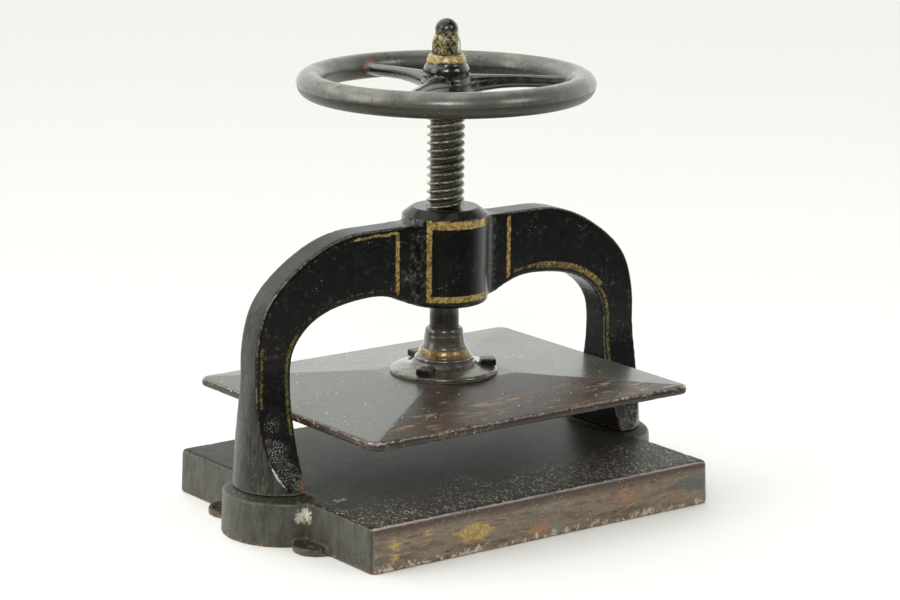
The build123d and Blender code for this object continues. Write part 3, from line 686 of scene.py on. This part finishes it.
def platen_finish():
    """Satin black worn to grey and brown, streaked on the front slope, rusty round the rim."""
    satin, worn_grey = (0.060, 0.061, 0.052), (0.085, 0.080, 0.064)
    slope_shade_black, slope_brown = (0.019, 0.013, 0.010), (0.052, 0.032, 0.022)
    streak_rust, streak_tan = (0.20, 0.105, 0.050), (0.36, 0.235, 0.12)
    rim_brown, rim_tan = (0.034, 0.020, 0.014), (0.17, 0.105, 0.055)
    f = Finish("worn_platen", satin, 0.26, 0.0, 3)
    fine = f.grain(2.4, 4.0, 0.65)
    front = f.ramp(f.axis(f.facing, "Y"), -0.045, -0.075)
    side = f.ramp(f.axis(f.facing, "Z"), 0.75, 0.4)
    f.cover(f.ramp(f.grain(48.0, 4.0), 0.45, 0.65), worn_grey, 0.29)
    dashes = f.both(f.ramp(f.grain(5.0, 5.0, 0.7, (2.5, 1.0, 1.0)), 0.60, 0.70), f.ramp(fine, 0.4, 0.6))
    f.cover(dashes, TAN_RUST, 0.5)
    # Front slope: painted darker, shade standing in for its dim reflection, dark brown, with rust and tan
    # drawn out lengthwise towards its edge.
    f.cover(front, slope_shade_black, 0.34)
    toward_front = f.ramp(f.ragged(f.axis(f.object_place, "Y"), 0.08, 30.0, 3.0), -0.05, -0.12)
    f.cover(f.both(front, f.ramp(f.grain(26.0, 4.0, 0.6, (2.0, 1.0, 1.0)), 0.42, 0.6)), slope_brown, 0.38)
    rust = f.ramp(f.grain(11.0, 5.0, 0.7, (3.0, 1.0, 1.0)), 0.56, 0.66)
    f.cover(f.both(front, toward_front, rust), streak_rust, 0.45)
    streak = f.ramp(f.grain(6.0, 5.0, 0.68, (4.0, 1.0, 1.0)), 0.56, 0.66)
    f.cover(f.both(front, toward_front, streak), streak_tan, 0.5)
    flecks = f.both(front, f.specks(0.9, 0.10, (1.8, 1.0, 1.0)), f.plus(0.2, toward_front, 0.8))
    f.cover(flecks, YELLOW_CLAY, 0.5)
    f.roughness = f.plus(f.roughness, f.grain(7.0, 4.0), 0.13)
    # Rim: dark brown, with cream and tan only in a few places.
    f.cover(side, rim_brown, 0.42)
    patch = f.ramp(f.grain(23.0, 4.0, 0.6), 0.50, 0.62)
    f.cover(f.both(side, patch, f.ramp(f.grain(5.0, 5.0, 0.7), 0.48, 0.62)), rim_tan, 0.6)
    f.cover(f.both(side, patch, f.ramp(f.grain(3.0, 5.0, 0.7), 0.57, 0.68)), CREAM, 0.6)
    # Top arris: a thin light line, worn metal with a painted highlight.
    edge = f.ramp(f.ragged(f.read("edge"), 0.8, 4.0, 4.0, 0.7), 0.62, 0.85)
    edge = f.both(edge, f.ramp(f.axis(f.object_place, "Z"), 0.0975, 0.0995))
    f.cover(edge, WORN_EDGE_HIGHLIGHT, 0.28, 0.3)
    f.cover(f.both(edge, f.ramp(f.grain(1.8, 3.0, 0.7), 0.52, 0.62)), CREAM, 0.4, 0.2)
    scattered = f.both(f.specks(0.65, 0.16, (2.4, 3.4, 1.0)), f.ramp(f.grain(22.0, 3.0), 0.46, 0.60))
    f.cover(scattered, CREAM, 0.5)
    f.raise_by(fine, 0.032)
    f.raise_by(f.grain(0.9, 2.0), 0.010)
    return f.done(0.1, 0.2)


def collar_finish():
    """Worn bare iron, brown and grey, with a band of old gold."""
    iron, brown, light = (0.110, 0.103, 0.080), (0.060, 0.042, 0.032), (0.17, 0.165, 0.14)
    dark, hollow_brown, foot_tan = (0.035, 0.028, 0.022), (0.060, 0.036, 0.022), (0.36, 0.26, 0.13)
    band_brown = (0.20, 0.125, 0.045)
    f = Finish("worn_collar", iron, 0.28, 0.45, 4)
    fine = f.grain(2.0, 4.0, 0.65)
    height = f.axis(f.object_place, "Z")
    f.cover(f.ramp(f.grain(14.0, 5.0, 0.6), 0.48, 0.64), brown, 0.34, 0.3)
    f.cover(f.ramp(f.grain(9.0, 5.0, 0.7), 0.50, 0.62), light, 0.30, 0.6)
    f.cover(f.ramp(f.grain(4.0, 5.0, 0.75, (2.5, 2.5, 1.0)), 0.58, 0.68), dark, 0.40, 0.2)
    uneven = f.ragged(height, 0.003, 3.0, 4.0, 0.7)
    band = f.both(f.ramp(uneven, 0.1240, 0.1248), f.ramp(uneven, 0.1312, 0.1302))
    band = f.both(band, f.ramp(f.grain(5.0, 5.0, 0.7), 0.34, 0.48))
    f.cover(band, band_brown, 0.36, 0.45)
    f.cover(f.both(band, f.ramp(fine, 0.48, 0.60)), GOLD, 0.34, 0.5)
    edge = f.ramp(f.ragged(f.read("edge"), 1.2, 3.0, 4.0, 0.7), 0.45, 0.8)
    f.cover(edge, BARE_IRON, 0.26, 0.7)
    f.cover(f.both(f.read("hollow"), f.ramp(f.grain(3.0, 4.0, 0.7), 0.4, 0.6)), hollow_brown, 0.6, 0.0)
    low = f.ramp(f.ragged(height, -0.003, 4.0, 4.0, 0.7), 0.1104, 0.1096)
    f.cover(low, foot_tan, 0.6, 0.0)
    f.cover(f.specks(0.6, 0.16), DUST, 0.5, 0.0)
    f.raise_by(fine, 0.07)
    f.raise_by(f.grain(5.0, 3.0, 0.6, (2.0, 2.0, 1.0)), 0.12)
    f.raise_by(f.grain(0.8, 2.0), 0.014)
    return f.done(0.4, 0.10)


def wheel_finish():
    """Rim rubbed to smooth grey iron by hands, hub and spokes still black, hub collar gilt."""
    rim_grey, rim_light, rim_brown = (0.125, 0.127, 0.110), (0.19, 0.19, 0.165), (0.065, 0.055, 0.044)
    shaded_olive, shaded_brown = (0.034, 0.032, 0.022), (0.042, 0.030, 0.020)
    rubbed_red, hollow_tan, speck_black = (0.19, 0.095, 0.070), (0.16, 0.12, 0.09), (0.030, 0.028, 0.022)
    f = Finish("wheel_iron", BLACK_JAPAN, 0.18, 0.0, 5)
    fine = f.grain(2.2, 4.0, 0.65)
    height = f.axis(f.object_place, "Z")
    f.cover(f.ramp(f.grain(30.0, 4.0), 0.48, 0.64), OLIVE_JAPAN_AND_SHEEN, 0.26)
    rim = f.read("rim")
    f.specular = f.blend(rim, 1.0, 0.5)
    f.cover(rim, rim_grey, 0.30, 0.45)
    f.cover(f.both(rim, f.ramp(f.grain(24.0, 5.0, 0.6), 0.46, 0.62)), rim_light, 0.28, 0.55)
    f.cover(f.both(rim, f.ramp(f.grain(7.0, 5.0, 0.7), 0.56, 0.68)), rim_brown, 0.36, 0.3)
    # Under the parting line the rim is painted darker and browner, painted shade on its lower half, and
    # duller.
    under = f.both(rim, f.ramp(f.ragged(height, 0.0008, 2.0, 3.0, 0.7), 0.3522, 0.3514))
    under_mix = f.ramp(f.grain(6.0, 5.0, 0.7, (1.5, 1.5, 1.0)), 0.44, 0.6)
    f.cover(under, f.blend(under_mix, shaded_olive, shaded_brown), 0.42, 0.10)
    rubbed = f.ramp(f.ragged(f.read("rubbed"), 1.2, 5.0, 5.0, 0.7), 0.42, 0.7)
    f.cover(rubbed, rubbed_red, 0.55, 0.0)
    gold = f.both(f.read("gilt"), f.ramp(f.grain(3.2, 5.0, 0.7), 0.34, 0.48))
    f.cover(gold, f.blend(f.ramp(fine, 0.40, 0.55), DULL_GOLD, GOLD), 0.34, 0.35)
    edge = f.ramp(f.ragged(f.read("edge"), 1.3, 3.0, 4.0, 0.7), 0.6, 0.85)
    f.cover(edge, BARE_IRON, 0.32, 0.5)
    f.cover(f.both(f.read("hollow"), f.ramp(f.grain(3.0, 5.0, 0.7), 0.5, 0.7)), hollow_tan, 0.6, 0.0)
    f.cover(f.both(f.specks(0.7, 0.26), f.ramp(f.grain(18.0, 3.0), 0.42, 0.60)), DUST, 0.5, 0.0)
    f.cover(f.both(f.specks(0.5, 0.16), rim), speck_black, 0.5, 0.0)
    f.roughness = f.plus(f.roughness, f.grain(6.0, 4.0), 0.10)
    f.raise_by(fine, 0.05)
    f.raise_by(f.grain(0.8, 2.0), 0.014)
    return f.done(0.1, 0.12)


def nut_finish():
    """Acorn nut: black, with most of its gold paint left on the flats and flakes round the dome."""
    old_gold, light_gold = (0.20, 0.175, 0.075), (0.46, 0.38, 0.17)
    pit_black, edge_tan = (0.030, 0.026, 0.022), (0.55, 0.50, 0.40)
    f = Finish("gilt_nut", BLACK_JAPAN, 0.20, 0.1, 6)
    fine = f.grain(1.6, 4.0, 0.65)
    height = f.axis(f.object_place, "Z")
    f.cover(f.ramp(f.grain(6.0, 4.0, 0.6), 0.5, 0.62), DARK_IRON, 0.28, 0.5)
    below = f.ramp(f.ragged(height, 0.008, 3.0, 4.0, 0.7), 0.3975, 0.3940)
    gold = f.both(below, f.ramp(f.grain(3.4, 5.0, 0.7), 0.44, 0.54))
    f.cover(gold, f.blend(f.ramp(fine, 0.42, 0.56), old_gold, light_gold), 0.30, 0.45)
    f.cover(f.both(below, f.ramp(f.grain(1.3, 4.0, 0.75), 0.60, 0.66)), pit_black, 0.4, 0.1)
    edge = f.ramp(f.ragged(f.read("edge"), 1.2, 2.0, 4.0, 0.7), 0.5, 0.8)
    f.cover(edge, edge_tan, 0.30, 0.5)
    f.raise_by(fine, 0.06)
    f.raise_by(gold, 0.03)
    return f.done(0.2, 0.10)


def screw_finish():
    """Oiled dark steel, brown in the roots of the thread and brighter on its worn crests."""
    steel, brown, crest = (0.125, 0.118, 0.088), (0.065, 0.050, 0.036), (0.33, 0.32, 0.25)
    root, shank_dark, shank_rust = (0.020, 0.014, 0.009), (0.034, 0.028, 0.022), (0.085, 0.046, 0.030)
    f = Finish("screw_steel", steel, 0.30, 0.7, 7)
    f.cover(f.ramp(f.grain(10.0, 5.0, 0.6), 0.50, 0.64), brown, 0.36, 0.5)
    f.cover(f.both(f.read("edge"), f.ramp(f.grain(4.0, 4.0, 0.7), 0.34, 0.52)), crest, 0.27, 0.8)
    f.cover(f.both(f.read("hollow"), f.ramp(f.grain(3.0, 4.0, 0.7), 0.3, 0.5)), root, 0.5, 0.1)
    low = f.ramp(f.plus(f.axis(f.object_place, "Z"), f.grain(6.0, 4.0, 0.7), 0.02), 0.176, 0.166)
    f.cover(low, shank_dark, 0.42, 0.3)
    f.cover(f.both(low, f.ramp(f.grain(4.0, 5.0, 0.7), 0.50, 0.66)), shank_rust, 0.5, 0.2)
    f.cover(f.specks(0.5, 0.12), DUST, 0.5, 0.0)
    f.raise_by(f.grain(1.8, 4.0, 0.65), 0.03)
    f.raise_by(f.grain(0.7, 2.0), 0.012)
    return f.done(0.15, 0.12)


def fastener_finish():
    """Dark steel of bolts and washers, with rust."""
    steel, brown = (0.020, 0.018, 0.015), (0.050, 0.034, 0.024)
    rust, edge_grey = (0.16, 0.10, 0.06), (0.17, 0.16, 0.13)
    f = Finish("fastener_steel", steel, 0.36, 0.4, 8)
    f.cover(f.ramp(f.grain(5.0, 5.0, 0.7), 0.52, 0.64), brown, 0.5, 0.1)
    f.cover(f.ramp(f.grain(3.0, 5.0, 0.7), 0.62, 0.72), rust, 0.6, 0.0)
    f.cover(f.both(f.read("edge"), f.ramp(f.grain(2.0, 4.0, 0.7), 0.44, 0.6)), edge_grey, 0.36, 0.6)
    f.raise_by(f.grain(1.6, 4.0, 0.65), 0.06)
    return f.done()


# ---------------------------------------------------------------- the pieces

def spots(points, places):
    """A soft blot, from 0 to 1, round each (x, y, z, radius, strength), in metres."""
    total = np.zeros(len(points))
    for x, y, z, radius, strength in places:
        distance = np.linalg.norm(points - np.array((x, y, z)), axis=1)
        total = np.maximum(total, strength * ramp(distance, radius, radius * 0.3))
    return total


def gold_lines(skin):
    """Where the gold lines run on the front of the yoke: depth inside a line in mm, and how much is left."""
    points, normals = skin.points, skin.normals()
    side = np.sign(points[:, 0])
    reach = np.abs(points[:, 0])
    _, yoke_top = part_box("yoke_casting")
    boss_radius = 36 * MM
    arm_top = yoke_top.z / MM - 10
    facing = normals[:, 1] < -0.8
    flat = facing & (reach > boss_radius + 8 * MM)
    # Distance in millimetres from each point of the flat front to its rim, and whether that is the outer rim.
    around_edge = (normals[:, 1] > -0.55) & (points[:, 1] < -9 * MM) & (reach > boss_radius + 3 * MM)
    rim = np.flatnonzero(around_edge)
    tree = KDTree(len(rim))
    for index in rim:
        tree.insert(points[index], int(index))
    tree.balance()
    distance = np.full(skin.count, 99.0)
    outer = np.zeros(skin.count, bool)
    for index in np.flatnonzero(flat):
        _, found, span = tree.find(points[index])
        distance[index] = span / MM
        outer[index] = normals[found][2] + side[index] * normals[found][0] > 0
    inside = np.full(skin.count, -10.0)
    left = np.zeros(skin.count)

    def draw(where, away, half_width, amount):
        """A line where away, the distance in millimetres from its middle, is under half_width."""
        better = where & (half_width - away > inside)
        inside[better] = (half_width - away)[better]
        left[better] = np.broadcast_to(amount, away.shape)[better]

    x, z = reach / MM, points[:, 2] / MM
    leg = z < 165
    right = side > 0
    # Along the top of the left arm, strongest near the boss.
    along_top = flat & outer & ~leg & ~right & (x > 56)
    draw(along_top, np.abs(distance - 4.6), half_width=1.1, amount=np.where(x < 100, 0.72, 0.30))
    # Over the arch: a broad band on the right, thin by the boss, and remnants on the left.
    over_arch = flat & ~outer & ~leg
    by_boss = x < 88
    band_half_width = np.where(by_boss, 1.6, 2.7)
    draw(over_arch & right & (x > 62), np.abs(distance - 6.2), band_half_width, np.where(by_boss, 0.50, 0.58))
    draw(over_arch & ~right & (x > 56), np.abs(distance - 4.5), half_width=1.2, amount=0.36)
    # Down the legs.
    inner_line = flat & ~outer & leg & (z > 84)
    outer_line = flat & outer & leg & (z > 107) & (z < 157)
    draw(inner_line, np.abs(distance - 4.2), half_width=1.5, amount=np.where(right, 0.56, 0.55))
    draw(outer_line, np.abs(distance - 4.4), half_width=1.5, amount=np.where(right, 0.34, 0.50))
    # Upright lines beside the boss.
    draw(flat & (distance > 3.5) & (x < 70), np.abs(x - 57.0), half_width=2.0, amount=0.70)
    # The panel on the front of the boss.
    around = np.arctan2(points[:, 1], points[:, 0])
    radial = np.hypot(points[:, 0], points[:, 1])
    low, high = math.radians(-147.0), math.radians(-33.0)
    boss = (np.abs(radial - boss_radius) < 1.5 * MM) & (points[:, 1] < 0) & (z < 246)
    arc = np.minimum(np.abs(around - low), np.abs(around - high)) * boss_radius / MM
    tall = boss & (z > 175) & (z < arm_top + 3.5)
    between = boss & (around > low - 0.06) & (around < high + 0.06)
    worn = np.where(around > high - 0.5, 0.52, 0.74)
    draw(tall, arc, half_width=2.4, amount=worn)
    draw(between, np.abs(z - 239.8), half_width=3.4, amount=worn)
    draw(between, np.abs(z - 178.0), half_width=2.7, amount=worn)
    skin.keep("gilt", np.clip(inside, -10.0, 10.0))
    skin.keep("gilt_left", left)


def foot_crease():
    """Spots for a painted highlight down the crease between the left foot's flat front and its round side,
    brightest half way.
    """
    foot_x, leg_top, leg_height = 162.5, 127.0, 88.0
    arm_half, foot_half = 12.7, 38.7
    arm_turn, foot_turn = 34.2, 40.2
    flare_power = 1.85
    places = []
    for drop in np.linspace(0.62, 0.97, 24):
        half = arm_half + (foot_half - arm_half) * drop ** flare_power
        turn = arm_turn + (foot_turn - arm_turn) * drop
        across = foot_x + math.sqrt(turn ** 2 - half ** 2)
        bright = 0.95 - 3.6 * abs(drop - 0.82)
        places.append((-across * MM, -half * MM, (leg_top - leg_height * drop) * MM, 2.1 * MM, bright))
    return places


def make_yoke():
    low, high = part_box("yoke_casting")
    bore, boss_low = 18 * MM, 160 * MM

    def threads(points):
        in_bore = (np.hypot(points[:, 0], points[:, 1]) < bore) & (points[:, 2] > boss_low)
        return in_bore.astype(float)

    skin = wear(
        "yoke_casting", 1.25 * MM, 11, fillet=14, arris=2, wave=0.14, pits=0.05, chips=0.15, hold=threads,
    )
    gold_lines(skin)
    foot = low.z
    leg_x = high.x - 36 * MM
    # Rust and bare patches: the left bend and foot, the right foot, the boss's shoulder and the feet's rims.
    skin.keep("rubbed", np.maximum(
        spots(skin.points, [
            (-leg_x - 12 * MM, -13 * MM, foot + 116 * MM, 30 * MM, 0.44),
            (-0.162, -0.037, foot + 6 * MM, 14 * MM, 1.0),
            (-0.188, -0.016, foot + 42 * MM, 9 * MM, 0.75),
            (leg_x, -36 * MM, foot + 6 * MM, 12 * MM, 0.7),
            (0.020, -0.030, high.z - 8 * MM, 14 * MM, 0.5),
        ]),
        0.6 * ramp(skin.points[:, 2], foot + 3.0 * MM, foot + 0.3 * MM),
    ))
    skin.keep("dusty", spots(skin.points, [
        (-0.046, -0.016, 0.196, 17 * MM, 0.52), (-0.040, -0.024, 0.178, 13 * MM, 0.56),
        (-leg_x - 2 * MM, -36 * MM, foot + 10 * MM, 20 * MM, 0.50),
        (leg_x + 12 * MM, -36 * MM, foot + 12 * MM, 22 * MM, 0.62),
    ]))
    skin.keep("silvered", spots(skin.points, [
        (-0.167, -0.038, 0.046, 17 * MM, 1.0), (-0.176, -0.033, 0.058, 17 * MM, 1.0),
        (-0.181, -0.026, 0.074, 16 * MM, 0.85), (-0.183, -0.018, 0.094, 13 * MM, 0.6),
    ]))
    # A painted highlight down the left foot's crease.
    skin.keep("painted_glint", spots(skin.points, foot_crease()))
    place(skin, "yoke", "yoke_casting", "frame", "japanned_iron", japan_finish())


def make_bed():
    skin = wear(
        "base_casting", 1.35 * MM, 21, fillet=6, arris=2, wave=0.16, pits=0.05, chips=0.45, most=190000,
    )
    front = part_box("base_casting")[0].y
    # Marks on the front side are drawn out lengthwise.
    squeeze = 0.42
    squeezed = skin.points * (squeeze, 1.0, 1.0)

    def smears(places):
        """Long blots on the front side, round each (x, z, radius, strength)."""
        across = [(x * squeeze, front, z, radius, strength) for x, z, radius, strength in places]
        return spots(squeezed, across)

    skin.keep("rubbed", np.maximum(
        smears([(-0.072, 0.018, 12 * MM, 0.95), (-0.121, 0.025, 6 * MM, 0.6)]),
        spots(skin.points, [(-0.151, front, 0.020, 10 * MM, 0.8), (-0.152, front, 0.011, 9 * MM, 0.8)]),
    ))
    skin.keep("orange", smears([
        (0.081, 0.022, 9 * MM, 0.75), (-0.007, 0.009, 7 * MM, 0.75), (0.128, 0.026, 7 * MM, 0.5),
        (-0.035, 0.012, 6 * MM, 0.45),
    ]))
    skin.keep("grey", smears([
        (0.158, 0.021, 13 * MM, 1.0), (-0.164, 0.010, 7 * MM, 0.9), (-0.020, 0.024, 9 * MM, 0.55),
        (0.035, 0.022, 8 * MM, 0.4),
    ]))
    skin.keep("bared", spots(skin.points, [
        (-0.176, -0.052, 0.026, 13 * MM, 0.72), (-0.180, -0.056, 0.014, 9 * MM, 0.62),
        (-0.150, -0.062, 0.037, 9 * MM, 0.55), (-0.143, -0.060, 0.037, 7 * MM, 0.6),
    ]))
    place(skin, "bed", "base_casting", "frame", "bed_iron", bed_finish())


def make_platen():
    skin = wear("platen", 1.35 * MM, 31, fillet=3, arris=5, wave=0.12, pits=0.03, chips=0.3)
    place(skin, "platen_plate", "platen", "platen", "platen_iron", platen_finish())


def make_collar():
    skin = wear("platen_collar", 0.62 * MM, 41, fillet=4, arris=2, wave=0.08, pits=0.05, chips=0.15)
    place(skin, "collar", "platen_collar", "platen", "collar_iron", collar_finish())


def make_wheel():
    skin = wear("handwheel", 0.9 * MM, 51, fillet=18, arris=2, wave=0.10, pits=0.03, chips=0.1)
    points = skin.points
    radius = np.hypot(points[:, 0], points[:, 1])
    skin.keep("rim", ramp(radius + 1.5 * MM * noise(points, 6 * MM, 52), 96 * MM, 100 * MM))
    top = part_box("handwheel")[1].z
    skin.keep("gilt", ramp(points[:, 2], top - 6.6 * MM, top - 6.0 * MM) * (radius < 20 * MM))
    # Reddish wear where the back spoke meets the rim, and a little further round.
    joint = math.radians(93.0)
    skin.keep("rubbed", spots(points, [
        (0.101 * math.cos(joint), 0.101 * math.sin(joint), 0.354, 13 * MM, 0.75),
        (0.112 * math.cos(joint + 0.5), 0.112 * math.sin(joint + 0.5), 0.360, 9 * MM, 0.4),
    ]))
    place(skin, "wheel", "handwheel", "screw", "wheel_iron", wheel_finish())


def make_screw():
    skin = wear("screw_spindle", 0.62 * MM, 61, fillet=3, arris=4, wave=0.05, pits=0.03, chips=0.1)
    place(skin, "spindle", "screw_spindle", "screw", "screw_steel", screw_finish())


def make_nut():
    skin = wear("acorn_nut", 0.36 * MM, 71, fillet=4, arris=4, wave=0.06, pits=0.05, chips=0.15)
    place(skin, "crown_nut", "acorn_nut", "screw", "gilt_iron", nut_finish())


def make_fasteners():
    """Bolts, washers and the disc at the screw's foot."""
    finish = fastener_finish()
    bodies = frame["record"]["behaviour"]["bodies"]
    kinds = ("yoke_bolt", "yoke_washer", "collar_bolt", "retaining")
    small = [name for name in sorted(nodes) if name.startswith(kinds)]
    for number, name in enumerate(small):
        body = next(b for b, members in bodies.items() if name in members)
        voxel = 0.42 * MM if name.startswith("collar") else 0.6 * MM
        skin = wear(name, voxel, 81 + number, fillet=2, arris=4, wave=0.05, pits=0.06, chips=0.2)
        place(skin, name + "_worn", name, body, "fastener_steel", finish)


scene.view_settings.view_transform = "Standard"
make_camera()
make_studio()
make_floor()
make_yoke()
make_bed()
make_platen()
make_collar()
make_wheel()
make_screw()
make_nut()
make_fasteners()
